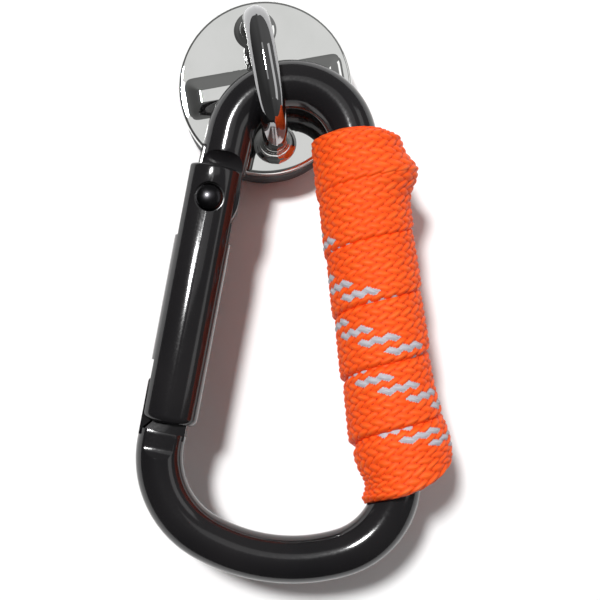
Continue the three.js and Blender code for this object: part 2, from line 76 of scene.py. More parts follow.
camera_data = bpy.data.cameras.new("camera")
camera = bpy.data.objects.new("camera", camera_data)
bpy.context.scene.collection.objects.link(camera)
camera_data.sensor_width = 36
camera_data.lens = LENS_PIXELS / IMAGE_WIDTH * camera_data.sensor_width
camera_data.shift_x = (IMAGE_WIDTH / 2 - VANISHING[0]) / IMAGE_WIDTH
camera_data.shift_y = (VANISHING[1] - IMAGE_WIDTH / 2) / IMAGE_WIDTH
camera_data.clip_start = 0.01
camera_data.clip_end = 10
right = photo_axes(1, 0, 0)
up = photo_axes(0, 0, 1)
back = Vector((0, -1, 0))
turn = Matrix((right, up, back)).transposed().to_4x4()
place = photo_axes(0.33, CAP_FACE - CAMERA_DISTANCE, -50.84) * MM
camera.matrix_world = Matrix.Translation(place) @ turn
bpy.context.scene.camera = camera


# ---------------------------------------------------------------- mesh helpers

def mesh_object(name, points, faces, smooth=True):
    mesh = bpy.data.meshes.new(name)
    mesh.from_pydata([tuple(p) for p in np.asarray(points) * MM], [], faces)
    mesh.validate()
    mesh.update()
    obj = bpy.data.objects.new(name, mesh)
    bpy.context.scene.collection.objects.link(obj)
    if smooth:
        mesh.shade_smooth()
    return obj


def grid_faces(rows, columns, close_rows=False, close_columns=False):
    """Quads over a rows x columns grid of points, row by row."""
    faces = []
    for i in range(rows if close_rows else rows - 1):
        for j in range(columns if close_columns else columns - 1):
            a = i * columns + j
            b = i * columns + (j + 1) % columns
            c = ((i + 1) % rows) * columns + (j + 1) % columns
            d = ((i + 1) % rows) * columns + j
            faces.append((a, b, c, d))
    return faces


def lathe(name, profile, segments=128):
    """Turns [radius, y] points about the y axis. The first and last radius may be 0."""
    rings = [p for p in profile if p[0] > 1e-6]
    angles = np.linspace(0, 2 * math.pi, segments, endpoint=False)
    points = [(r * math.cos(a), y, r * math.sin(a)) for r, y in rings for a in angles]
    faces = grid_faces(len(rings), segments, close_columns=True)
    if profile[0][0] <= 1e-6:
        points.append((0, profile[0][1], 0))
        tip = len(points) - 1
        faces += [(tip, (j + 1) % segments, j) for j in range(segments)]
    if profile[-1][0] <= 1e-6:
        points.append((0, profile[-1][1], 0))
        tip = len(points) - 1
        base = (len(rings) - 1) * segments
        faces += [(tip, base + j, base + (j + 1) % segments) for j in range(segments)]
    return mesh_object(name, points, faces)


def fix_normals(obj):
    bm = bmesh.new()
    bm.from_mesh(obj.data)
    bmesh.ops.recalc_face_normals(bm, faces=bm.faces)
    bm.to_mesh(obj.data)
    bm.free()


def apply_modifiers(obj):
    graph = bpy.context.evaluated_depsgraph_get()
    mesh = bpy.data.meshes.new_from_object(obj.evaluated_get(graph))
    old = obj.data
    obj.modifiers.clear()
    obj.data = mesh
    mesh.name = obj.name
    bpy.data.meshes.remove(old)


def combine(obj, tool, operation):
    modifier = obj.modifiers.new("combine", "BOOLEAN")
    modifier.operation = operation
    modifier.solver = "EXACT"
    modifier.object = tool
    bpy.context.view_layer.update()
    apply_modifiers(obj)
    bpy.data.objects.remove(tool)


def soften(obj, width, segments=3, angle=32):
    """Rounds every sharp edge."""
    modifier = obj.modifiers.new("soften", "BEVEL")
    modifier.width = width * MM
    modifier.segments = segments
    modifier.limit_method = "ANGLE"
    modifier.angle_limit = math.radians(angle)
    modifier.miter_outer = "MITER_ARC"
    bpy.context.view_layer.update()
    apply_modifiers(obj)


def shade_by_angle(obj, degrees):
    mesh = obj.data
    mesh.shade_smooth()
    mesh.set_sharp_from_angle(angle=math.radians(degrees))


def tube(name, centres, normals, across, radii, sides, caps=True):
    """A tube through centres. Each ring spans the unit vectors normals and across."""
    angles = np.linspace(0, 2 * math.pi, sides, endpoint=False)
    ring_cos, ring_sin = np.cos(angles), np.sin(angles)
    points = (
        centres[:, None, :]
        + radii[:, None, None] * ring_cos[None, :, None] * normals[:, None, :]
        + radii[:, None, None] * ring_sin[None, :, None] * across[:, None, :]
    )
    faces = grid_faces(len(centres), sides, close_columns=True)
    if caps:
        faces.append(tuple(range(sides)))
        last = (len(centres) - 1) * sides
        faces.append(tuple(last + j for j in reversed(range(sides))))
    obj = mesh_object(name, points.reshape(-1, 3), faces)
    fix_normals(obj)
    return obj


def prism(name, outline, y0, y1):
    """A plate with an outline of (x, z) points, from y0 to y1."""
    n = len(outline)
    points = [(x, y0, z) for x, z in outline] + [(x, y1, z) for x, z in outline]
    faces = [tuple(range(n)), tuple(reversed(range(n, 2 * n)))]
    faces += [(i, (i + 1) % n, n + (i + 1) % n, n + i) for i in range(n)]
    obj = mesh_object(name, points, faces, smooth=False)
    fix_normals(obj)
    return obj


def bar(name, axis, centre, radius, start, end, sides=64):
    """A round bar along x, y or z from start to end."""
    angles = np.linspace(0, 2 * math.pi, sides, endpoint=False)
    others = [i for i in range(3) if i != axis]
    points = []
    for along in (start, end):
        for a in angles:
            p = [0.0, 0.0, 0.0]
            p[axis] = along
            p[others[0]] = centre[0] + radius * math.cos(a)
            p[others[1]] = centre[1] + radius * math.sin(a)
            points.append(p)
    faces = [(j, (j + 1) % sides, sides + (j + 1) % sides, sides + j) for j in range(sides)]
    faces += [tuple(range(sides)), tuple(reversed(range(sides, 2 * sides)))]
    obj = mesh_object(name, points, faces, smooth=False)
    fix_normals(obj)
    return obj


def move_mesh(obj, matrix):
    obj.data.transform(matrix)


def round_corners(corners, radius, steps=6):
    """Rounds the corners of a closed outline of (x, z) points."""
    rounded = []
    n = len(corners)
    for i in range(n):
        before = Vector(corners[i - 1])
        here = Vector(corners[i])
        after = Vector(corners[(i + 1) % n])
        size = radius[i] if isinstance(radius, (list, tuple)) else radius
        a = here + (before - here).normalized() * min(size, (before - here).length * 0.45)
        b = here + (after - here).normalized() * min(size, (after - here).length * 0.45)
        for k in range(steps + 1):
            t = k / steps
            rounded.append(tuple(a * (1 - t) ** 2 + here * 2 * t * (1 - t) + b * t ** 2))
    return rounded


# ---------------------------------------------------------------- places

def hang_matrix():
    """From the carabiner's own frame to the row frame, in metres."""
    origin = Vector((TOP_BEND[0], MIDDLE_Y, TOP_BEND[1])) * MM
    return Matrix.Translation(origin) @ Matrix.Rotation(HANG_ANGLE, 4, "Y")


def belt_angle(a, ra, b, rb):
    between = b - a
    return math.atan2(between.y, between.x) + math.acos((ra - rb) / between.length)


spine_corner = Vector((TOP_RADIUS - SPINE_CORNER, -SPINE_LENGTH))
gate_corner = spine_corner + Vector((-CORNER_SPACING, CORNER_RISE))
gate_angle = belt_angle(gate_corner, GATE_CORNER, Vector((0, 0)), TOP_RADIUS)
rod_lean = math.pi - gate_angle
rod_down = Vector((-math.sin(rod_lean), -math.cos(rod_lean)))
outwards = Vector((-math.cos(rod_lean), math.sin(rod_lean)))
top_end = Vector((math.cos(gate_angle), math.sin(gate_angle))) * TOP_RADIUS
pin = top_end + rod_down * HINGE_DROP + outwards * PIN_OUTSET
gate_lean = rod_lean - GATE_TOE_IN


def sag_centre():
    reach_a = BOTTOM_RADIUS - SPINE_CORNER
    reach_b = BOTTOM_RADIUS - GATE_CORNER
    across = gate_corner - spine_corner
    spacing = across.length
    along = (reach_a ** 2 - reach_b ** 2 + spacing ** 2) / (2 * spacing)
    aside = math.sqrt(reach_a ** 2 - along ** 2)
    across.normalize()
    return spine_corner + across * along + Vector((across.y, -across.x)) * aside


def gate_matrix():
    """From the gate's own frame to the carabiner's frame: the pin is the origin, -z is down the
    gate and +x points into the carabiner."""
    origin = Vector((pin.x, 0, pin.y)) * MM
    return Matrix.Translation(origin) @ Matrix.Rotation(gate_lean, 4, "Y")


def arc_points(centre, radius, start, end, step=0.35):
    count = max(2, int(abs(end - start) * radius / step))
    angles = np.linspace(start, end, count)
    return [(centre.x + radius * math.cos(a), centre.y + radius * math.sin(a)) for a in angles]


def rod_centre_line(hinge_length, nose_length):
    sag = sag_centre()
    first = spine_corner - sag
    second = gate_corner - sag
    sag_start = math.atan2(first.y, first.x)
    sag_end = math.atan2(second.y, second.x)
    line = [tuple(top_end + rod_down * hinge_length)]
    line += arc_points(Vector((0, 0)), TOP_RADIUS, gate_angle, 0)
    line += arc_points(spine_corner, SPINE_CORNER, 0, sag_start)
    line += arc_points(sag, BOTTOM_RADIUS, sag_start, sag_end)[1:]
    line += arc_points(gate_corner, GATE_CORNER, sag_end, gate_angle - 2 * math.pi)[1:]
    line += [tuple(top_end + rod_down * nose_length)]
    dense = [np.array(line[0])]
    for a, b in zip(line, line[1:]):
        a, b = np.array(a), np.array(b)
        pieces = max(1, int(np.linalg.norm(b - a) / 0.6))
        dense += [a + (b - a) * (k + 1) / pieces for k in range(pieces)]
    return np.array(dense)


# ---------------------------------------------------------------- material helpers

def new_material(name):
    material = bpy.data.materials.new(name)
    material.use_nodes = True
    nodes, links = material.node_tree.nodes, material.node_tree.links
    return material, nodes, links, nodes["Principled BSDF"]


def noise(nodes, links, source, scale, detail=3, rough=0.5):
    texture = nodes.new("ShaderNodeTexNoise")
    texture.inputs["Scale"].default_value = scale
    texture.inputs["Detail"].default_value = detail
    texture.inputs["Roughness"].default_value = rough
    links.new(source, texture.inputs["Vector"])
    return texture.outputs["Fac"]


def ramp(nodes, links, value, low, high, colors=None):
    """A number or colour that runs from low to high as the value does. Without colours, low and
    high are pairs of a value and what it gives."""
    if colors is None:
        node = nodes.new("ShaderNodeMapRange")
        node.inputs["From Min"].default_value = low[0]
        node.inputs["From Max"].default_value = high[0]
        node.inputs["To Min"].default_value = low[1]
        node.inputs["To Max"].default_value = high[1]
        links.new(value, node.inputs["Value"])
        return node.outputs["Result"]
    node = nodes.new("ShaderNodeMix")
    node.data_type = "RGBA"
    links.new(ramp(nodes, links, value, (low, 0), (high, 1)), node.inputs["Factor"])
    node.inputs["A"].default_value = (*colors[0], 1)
    node.inputs["B"].default_value = (*colors[1], 1)
    return node.outputs["Result"]


def bump(nodes, links, height, distance, strength=1.0, after=None):
    node = nodes.new("ShaderNodeBump")
    node.inputs["Distance"].default_value = distance
    node.inputs["Strength"].default_value = strength
    links.new(height, node.inputs["Height"])
    if after is not None:
        links.new(after, node.inputs["Normal"])
    return node.outputs["Normal"]


def coordinates(nodes):
    return nodes.new("ShaderNodeTexCoord").outputs["Object"]


def math_node(nodes, links, operation, a, b=None, clamp=False):
    node = nodes.new("ShaderNodeMath")
    node.operation = operation
    node.use_clamp = clamp
    for i, value in enumerate((a, b)):
        if value is None:
            continue
        if isinstance(value, (int, float)):
            node.inputs[i].default_value = value
        else:
            links.new(value, node.inputs[i])
    return node.outputs["Value"]


def distance_to(nodes, links, where, point):
    node = nodes.new("ShaderNodeVectorMath")
    node.operation = "DISTANCE"
    links.new(where, node.inputs[0])
    node.inputs[1].default_value = [c * MM for c in point]
    return node.outputs["Value"]


def metal(name, color, low, high, grain=900, bump_mm=0.002, base_shift=0.9):
    """Bare or plated metal with a fine surface."""
    material, nodes, links, shader = new_material(name)
    where = coordinates(nodes)
    shader.inputs["Metallic"].default_value = 1
    fine = noise(nodes, links, where, grain, 4)
    broad = noise(nodes, links, where, 120, 2)
    darker = [c * base_shift for c in color]
    links.new(ramp(nodes, links, broad, 0.35, 0.65, (darker, color)), shader.inputs["Base Color"])
    links.new(ramp(nodes, links, fine, (0.3, low), (0.7, high)), shader.inputs["Roughness"])
    links.new(bump(nodes, links, fine, bump_mm * MM), shader.inputs["Normal"])
    return material


PEBBLED_PLACES = ((0, CAP_FACE, -9.5), (-2, CAP_FACE, 4.5))
ARCH_LOW, ARCH_HIGH = 1.4, 4.7  # painted shade on the eye fades in between these heights over the cap's face
# The darker colour painted on the eye as shade, standing in for the dark reflections it shows.
ARCH_SHADE_COLOR = (0.36, 0.36, 0.365)


def chrome_material():
    """Bright plated casting: nearly a mirror, with painted shade on the eye for the dark surroundings
    it reflects, and pebbled by the eye's feet.
    """
    material, nodes, links, shader = new_material("plated_casting")
    where = coordinates(nodes)
    shader.inputs["Metallic"].default_value = 1
    broad = noise(nodes, links, where, 150, 3)
    color = ramp(nodes, links, broad, 0.3, 0.7, ((0.83, 0.84, 0.82), (0.88, 0.885, 0.87)))
    split = nodes.new("ShaderNodeSeparateXYZ")
    links.new(where, split.inputs[0])
    top, foot = (CAP_FACE - ARCH_HIGH) * MM, (CAP_FACE - ARCH_LOW) * MM
    # Painted shade: the eye, above the cap's face, takes the darker colour.
    arch = ramp(nodes, links, split.outputs["Y"], (top, 1), (foot, 0))
    shade = nodes.new("ShaderNodeMix")
    shade.data_type = "RGBA"
    shade.inputs["B"].default_value = (*ARCH_SHADE_COLOR, 1)
    links.new(arch, shade.inputs["Factor"])
    links.new(color, shade.inputs["A"])
    links.new(shade.outputs["Result"], shader.inputs["Base Color"])
    links.new(ramp(nodes, links, broad, (0.3, 0.006), (0.7, 0.016)), shader.inputs["Roughness"])
    distances = [distance_to(nodes, links, where, place) for place in PEBBLED_PLACES]
    near = math_node(nodes, links, "MINIMUM", *distances)
    patch = ramp(nodes, links, near, (0.0028, 1), (0.0048, 0))
    pebble = nodes.new("ShaderNodeTexVoronoi")
    pebble.feature = "SMOOTH_F1"
    pebble.inputs["Scale"].default_value = 2400
    pebble.inputs["Smoothness"].default_value = 0.6
    links.new(where, pebble.inputs["Vector"])
    height = math_node(nodes, links, "MULTIPLY", pebble.outputs["Distance"], patch)
    skin = noise(nodes, links, where, 420, 2)
    first = bump(nodes, links, skin, 0.001 * MM)
    links.new(bump(nodes, links, height, 0.012 * MM, 0.7, first), shader.inputs["Normal"])
    return material


def black_material():
    """Glossy black anodised aluminium."""
    material, nodes, links, shader = new_material("black_anodised")
    where = coordinates(nodes)
    broad = noise(nodes, links, where, 90, 3)
    fine = noise(nodes, links, where, 2600, 3)
    color = ramp(nodes, links, broad, 0.3, 0.7, ((0.0085, 0.008, 0.009), (0.0125, 0.0115, 0.0125)))
    links.new(color, shader.inputs["Base Color"])
    links.new(ramp(nodes, links, fine, (0.3, 0.1), (0.7, 0.15)), shader.inputs["Roughness"])
    shader.inputs["Specular IOR Level"].default_value = 0.55
    links.new(bump(nodes, links, fine, 0.0012 * MM), shader.inputs["Normal"])
    return material


def rubber_material():
    material, nodes, links, shader = new_material("black_rubber")
    where = coordinates(nodes)
    broad = noise(nodes, links, where, 200, 3)
    fine = noise(nodes, links, where, 3000, 4)
    color = ramp(nodes, links, broad, 0.3, 0.7, ((0.012, 0.012, 0.013), (0.022, 0.022, 0.024)))
    links.new(color, shader.inputs["Base Color"])
    links.new(ramp(nodes, links, fine, (0.3, 0.5), (0.7, 0.68)), shader.inputs["Roughness"])
    links.new(bump(nodes, links, fine, 0.01 * MM), shader.inputs["Normal"])
    return material


def plastic_material():
    material, nodes, links, shader = new_material("natural_nylon")
    where = coordinates(nodes)
    broad = noise(nodes, links, where, 260, 3)
    color = ramp(nodes, links, broad, 0.3, 0.7, ((0.66, 0.65, 0.6), (0.74, 0.73, 0.69)))
    links.new(color, shader.inputs["Base Color"])
    links.new(ramp(nodes, links, broad, (0.3, 0.45), (0.7, 0.55)), shader.inputs["Roughness"])
    links.new(bump(nodes, links, broad, 0.01 * MM), shader.inputs["Normal"])
    return material


def cord_material():
    """Orange yarns with a grey reflective tracer, with painted shade in the crevices between picks and
    a painted highlight on their crowns. The mesh says which yarn shows where.
    """
    material, nodes, links, shader = new_material("orange_braid")
    tracer = nodes.new("ShaderNodeAttribute")
    tracer.attribute_name = "tracer"
    depth = nodes.new("ShaderNodeAttribute")
    depth.attribute_name = "crown"
    yarn = nodes.new("ShaderNodeAttribute")
    yarn.attribute_name = "yarn"
    where = coordinates(nodes)
    stretch = nodes.new("ShaderNodeVectorMath")
    stretch.operation = "MULTIPLY"
    stretch.inputs[1].default_value = (0.45, 9, 3)
    links.new(yarn.outputs["Vector"], stretch.inputs[0])
    fibre = noise(nodes, links, stretch.outputs["Vector"], 1.6, 3, 0.6)
    tone = noise(nodes, links, where, 260, 2)
    # Painted shade: the yarns run to a deep red in the crevices between picks, where shade falls.
    deep = (0.5, 0.012, 0.001)
    plain = (1.0, 0.102, 0.01)
    painted_highlight_color = (1.0, 0.2, 0.03)
    crown = ramp(nodes, links, depth.outputs["Fac"], 0.05, 0.42, (deep, plain))
    # Painted highlight: a paler orange on the high crowns of the picks, patchy with noise.
    painted_sheen = nodes.new("ShaderNodeMix")
    painted_sheen.data_type = "RGBA"
    painted_sheen_amount = math_node(nodes, links, "MULTIPLY", ramp(nodes, links, tone, (0.35, 0), (0.7, 1)),
                       ramp(nodes, links, depth.outputs["Fac"], (0.5, 0), (1.0, 1)))
    painted_sheen_amount = math_node(nodes, links, "MULTIPLY", painted_sheen_amount,
                       ramp(nodes, links, fibre, (0.35, 0.2), (0.65, 1)), clamp=True)
    links.new(painted_sheen_amount, painted_sheen.inputs["Factor"])
    links.new(crown, painted_sheen.inputs["A"])
    painted_sheen.inputs["B"].default_value = (*painted_highlight_color, 1)
    grey = ramp(nodes, links, fibre, 0.35, 0.65, ((0.38, 0.37, 0.41), (0.58, 0.58, 0.63)))
    mixed = nodes.new("ShaderNodeMix")
    mixed.data_type = "RGBA"
    links.new(ramp(nodes, links, tracer.outputs["Fac"], (0.45, 0), (0.55, 1)),
              mixed.inputs["Factor"])
    links.new(painted_sheen.outputs["Result"], mixed.inputs["A"])
    links.new(grey, mixed.inputs["B"])
    links.new(mixed.outputs["Result"], shader.inputs["Base Color"])
    shader.inputs["Roughness"].default_value = 0.52
    shader.inputs["Specular IOR Level"].default_value = 0.2
    links.new(bump(nodes, links, fibre, 0.05 * MM, 0.8), shader.inputs["Normal"])
    return material


def wall_material():
    material, nodes, links, shader = new_material("pale_wall")
    where = coordinates(nodes)
    broad = noise(nodes, links, where, 4, 2)
    color = ramp(nodes, links, broad, 0.3, 0.7, ((0.94, 0.94, 0.94), (0.96, 0.96, 0.96)))
    links.new(color, shader.inputs["Base Color"])
    shader.inputs["Roughness"].default_value = 0.9
    shader.inputs["Specular IOR Level"].default_value = 0.1
    # Only the side that faces the hook shows, so the hook can be looked at from behind.
    behind = nodes.new("ShaderNodeNewGeometry").outputs["Backfacing"]
    see_through = nodes.new("ShaderNodeMixShader")
    links.new(behind, see_through.inputs["Fac"])
    links.new(shader.outputs["BSDF"], see_through.inputs[1])
    links.new(nodes.new("ShaderNodeBsdfTransparent").outputs["BSDF"], see_through.inputs[2])
    links.new(see_through.outputs["Shader"], nodes["Material Output"].inputs["Surface"])
    return material


CHROME = chrome_material()
BLACK = black_material()
RUBBER = rubber_material()
NYLON = plastic_material()
BRAID = cord_material()
ZINC = metal("zinc_plated_steel", (0.6, 0.61, 0.62), 0.28, 0.42)
NICKEL = metal("nickel_plated_magnet", (0.66, 0.64, 0.6), 0.16, 0.26)
STEEL = metal("spring_steel", (0.62, 0.62, 0.63), 0.2, 0.34)
RIVET = metal("blackened_rivet", (0.035, 0.034, 0.037), 0.2, 0.3)


def finish_piece(obj, material, body, nodes):
    obj.data.materials.clear()
    obj.data.materials.append(material)
    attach(obj, body)
    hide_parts(*nodes)


def repaint(node, material):
    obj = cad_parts[node]
    for i in range(len(obj.material_slots)):
        obj.material_slots[i].link = "OBJECT"
        obj.material_slots[i].material = material


# ---------------------------------------------------------------- magnet base

CAP_RADIUS = 15.3
CAP_EDGE = 0.6
CAP_FOOT = -7.6
REGISTER_RADIUS = 13.2     # the hollow behind the cap that takes the cup
REGISTER_Y = -8.9
SCREW_HOLE = 2.2
RIB_HALF_LENGTH = 13.6
RIB_HALF_WIDTH = 3.2
RIB_SLOPE = 2.1
RIB_FILLET = 0.13          # share of the slope that each of its two bends takes
RIB_HEIGHT = 1.4
EYE_SPAN = 10.1
EYE_HEIGHT = 15.4
EYE_POWER = 3.2
EYE_HALF_DEPTH = 2.0       # half the bar's thickness in the arch's plane
EYE_HALF_WIDTH = 2.2
FOOT_FILLET = 1.7


def smooth(t):
    t = np.clip(t, 0, 1)
    return t * t * (3 - 2 * t)


def rib_height(x, z):
    """Height of the rib over the cap's face: straight slopes with a small bend at each end."""
    dx = np.maximum(np.abs(x) - (RIB_HALF_LENGTH - RIB_SLOPE), 0)
    dz = np.maximum(np.abs(z) - (RIB_HALF_WIDTH - RIB_SLOPE), 0)
    away = (dx ** 4 + dz ** 4) ** 0.25
    t = 1 - away / RIB_SLOPE
    rise = RIB_FILLET * (np.logaddexp(0, t / RIB_FILLET) - np.logaddexp(0, (t - 1) / RIB_FILLET))
    return RIB_HEIGHT * rise


def cast_cap():
    segments = 512
    radii = np.linspace(0.12, CAP_RADIUS - CAP_EDGE, 110)
    angles = np.linspace(0, 2 * math.pi, segments, endpoint=False)
    points, faces = [], []
    for r in radii:
        x, z = r * np.cos(angles), r * np.sin(angles)
        y = CAP_FACE - rib_height(x, z)
        points += list(zip(x, y, z))
    rows = len(radii)
    edge = [(CAP_RADIUS - CAP_EDGE * (1 - math.sin(a)), CAP_FACE + CAP_EDGE * (1 - math.cos(a)))
            for a in np.linspace(0, math.pi / 2, 14)[1:]]
    side = [(15.25, -9.4), (15.15, CAP_FOOT - 0.35), (14.9, CAP_FOOT),
            (REGISTER_RADIUS + 0.1, CAP_FOOT), (REGISTER_RADIUS, REGISTER_Y),
            (SCREW_HOLE, REGISTER_Y)]
    for r, y in edge + side:
        points += [(r * math.cos(a), y, r * math.sin(a)) for a in angles]
        rows += 1
    faces = grid_faces(rows, segments, close_columns=True)
    points += [(0, CAP_FACE - RIB_HEIGHT, 0), (0, REGISTER_Y, 0)]
    faces += [(len(points) - 2, (j + 1) % segments, j) for j in range(segments)]
    base = (rows - 1) * segments
    faces += [(len(points) - 1, base + j, base + (j + 1) % segments) for j in range(segments)]
    obj = mesh_object("cast_cap", points, faces)
    fix_normals(obj)
    shade_by_angle(obj, 50)
    return obj


def cast_eye():
    """The arch, with a fillet at each foot and the casting's parting ridge along it."""
    sunk = 0.6
    steps = 240
    t = np.linspace(0, 1, steps)
    angle = math.pi * t
    power = 2 / EYE_POWER
    across = np.sign(np.cos(angle)) * np.abs(np.cos(angle)) ** power
    out = np.abs(np.sin(angle)) ** power
    y = CAP_FACE + sunk - (EYE_HEIGHT + sunk) * out
    z = EYE_SPAN * across
    line = np.stack([np.zeros(steps), y, z], 1)
    gaps = np.linalg.norm(np.diff(line, axis=0), axis=1)
    where = np.concatenate([[0], np.cumsum(gaps)])
    even = np.linspace(0, where[-1], steps)
    line = np.stack([np.interp(even, where, line[:, k]) for k in range(3)], 1)
    along = np.gradient(line, axis=0)
    along /= np.linalg.norm(along, axis=1)[:, None]
    side = np.tile([1.0, 0, 0], (steps, 1))
    normal = np.cross(side, along)
    sides = 72
    ring = np.linspace(0, 2 * math.pi, sides, endpoint=False)
    height = np.maximum(CAP_FACE - line[:, 1], 0)
    short = np.clip(1 - height / FOOT_FILLET, 0, 1)
    flare = FOOT_FILLET * (1 - np.sqrt(1 - short ** 2))
    ridge = 0.1 * (np.exp(-(np.sin(ring) / 0.1) ** 2))
    points = []
    for i in range(steps):
        wide = EYE_HALF_WIDTH + flare[i]
        deep = EYE_HALF_DEPTH + flare[i] + ridge
        ring_points = (line[i] + np.outer(np.sin(ring) * wide, side[i])
                       + np.outer(np.cos(ring) * deep, normal[i]))
        points += list(ring_points)
    faces = grid_faces(steps, sides, close_columns=True)
    faces.append(tuple(range(sides)))
    last = (steps - 1) * sides
    faces.append(tuple(last + j for j in reversed(range(sides))))
    obj = mesh_object("cast_eye", points, faces)
    fix_normals(obj)
    return obj


cap = cast_cap()
eye = cast_eye()
finish_piece(cap, CHROME, "base", ["cast_base"])
finish_piece(eye, CHROME, "base", ["cast_base"])

boot = lathe("rubber_ring", [
    (0, 0), (14.3, 0), (14.75, -0.12), (15.02, -0.5), (15.1, -1.0), (15.1, -6.7), (15.02, -7.1),
    (14.8, -7.3), (13.2, -7.3), (13.2, -0.8), (0, -0.8),
], 192)
fix_normals(boot)
shade_by_angle(boot, 40)
finish_piece(boot, RUBBER, "base", ["rubber_boot"])

for node, material in {
    "steel_cup": ZINC,
    "spacer_ring": NYLON,
    "ring_magnet": NICKEL,
    "cup_screw": ZINC,
    "gate_plunger": STEEL,
    "gate_spring": STEEL,
}.items():
    repaint(node, material)


# ---------------------------------------------------------------- carabiner body

GATE_TOP = 5.4
GATE_TIP = 38.0
GATE_RADIUS = 4.75
TONGUE_HALF = 2.0
TONGUE_END = 4.3
HINGE_SLOT_END = 6.8
NOSE_SLOT_START = 28.0
NOSE_TOP = 30.9
NOSE_SHOULDER = 39.6
SHOULDER_HALF = 3.2
SHOULDER_LENGTH = 2.6
NOSE_OUTER = -4.45
NOSE_INNER = 3.2
SLOT_HALF = 2.3
HINGE_COVE = 2.6           # radius of the hollow over the gate's top
NOSE_COVE = 2.5
PIN_HOLE = 1.6
GATE_TIP_ROUNDING = 1.3
GATE_TOP_ROUNDING = 0.5
GATE_TOP_SWING = 6.7       # the gate's top corners are turned to this radius about the pin
BORE_RADIUS = 2.1
BORE_END = 23.1
RIVET_RECESS = 2.5
RIVET_SEAT = 3.9           # middle plane to the flat under each rivet head
FAR = 7.0                  # past any surface of the rod or gate

GATE_FRAME = gate_matrix()
HANG = hang_matrix()


def in_gate_frame(obj):
    move_mesh(obj, GATE_FRAME)
    return obj


def flat_tools(half, cove_at, reach, direction, cove_radius):
    """Solids that mill the rod down to a flat on both faces, with a round cove at its end."""
    tools = []
    for side in (-1, 1):
        y0, y1 = sorted((side * half, side * FAR))
        z0, z1 = sorted((-cove_at, -cove_at - direction * reach))
        outline = [(-FAR - 1, z0), (FAR + 1, z0), (FAR + 1, z1), (-FAR - 1, z1)]
        tools.append(prism("tool", outline, y0, y1))
        centre = (side * (half + cove_radius), -cove_at)
        tools.append(bar("tool", 0, centre, cove_radius, -FAR - 1, FAR + 1))
    return tools


def carabiner_rod():
    line = rod_centre_line(HINGE_DROP - GATE_TOP, HINGE_DROP + NOSE_SHOULDER)
    centres = np.stack([line[:, 0], np.zeros(len(line)), line[:, 1]], 1)
    along = np.gradient(centres, axis=0)
    along /= np.linalg.norm(along, axis=1)[:, None]
    across = np.tile([0.0, 1.0, 0.0], (len(line), 1))
    normals = np.cross(across, along)
    rod = tube("carabiner_rod", centres, normals, across, np.full(len(line), ROD_RADIUS), 64)
    tools = flat_tools(TONGUE_HALF, -(GATE_TOP + 0.1), 6, 1, HINGE_COVE)
    tools += flat_tools(SHOULDER_HALF, NOSE_SHOULDER + SHOULDER_LENGTH, 6, -1, NOSE_COVE)
    for tool in tools:
        combine(rod, in_gate_frame(tool), "DIFFERENCE")
    root = GATE_TOP + 3.5
    hinge = round_corners([
        (-2.9, root), (-3.25, -TONGUE_END), (2.9, -TONGUE_END), (4.0, -3.2), (4.95, -0.4),
        (4.6, 4.0), (3.9, root),
    ], [0.1, 3.4, 1.2, 0.8, 2.0, 1.0, 0.1])
    combine(rod, in_gate_frame(prism("tool", hinge, -TONGUE_HALF, TONGUE_HALF)), "UNION")
    nose = round_corners([
        (NOSE_OUTER, -NOSE_SHOULDER - 1), (NOSE_INNER, -NOSE_SHOULDER - 1),
        (NOSE_INNER, -NOSE_TOP), (NOSE_OUTER, -NOSE_TOP),
    ], [0.05, 0.05, 0.9, 0.9])
    combine(rod, in_gate_frame(prism("tool", nose, -TONGUE_HALF, TONGUE_HALF)), "UNION")
    combine(rod, in_gate_frame(bar("tool", 1, (0, 0), PIN_HOLE, -5, 5, 40)), "DIFFERENCE")
    soften(rod, 0.22)
    move_mesh(rod, HANG)
    shade_by_angle(rod, 40)
    return rod


rod = carabiner_rod()
finish_piece(rod, BLACK, "carabiner", ["carabiner_body"])


# ---------------------------------------------------------------- gate

def turned_down(profile, sides):
    """Turns [radius, z] points about the z axis, lowest first."""
    angles = np.linspace(0, 2 * math.pi, sides, endpoint=False)
    rings = profile[1:-1]
    points = [(r * math.cos(a), r * math.sin(a), z) for r, z in rings for a in angles]
    faces = grid_faces(len(rings), sides, close_columns=True)
    points += [(0, 0, profile[0][1]), (0, 0, profile[-1][1])]
    faces += [(len(points) - 2, (j + 1) % sides, j) for j in range(sides)]
    base = (len(rings) - 1) * sides
    faces += [(len(points) - 1, base + j, base + (j + 1) % sides) for j in range(sides)]
    obj = mesh_object("gate_tube", points, faces)
    fix_normals(obj)
    return obj


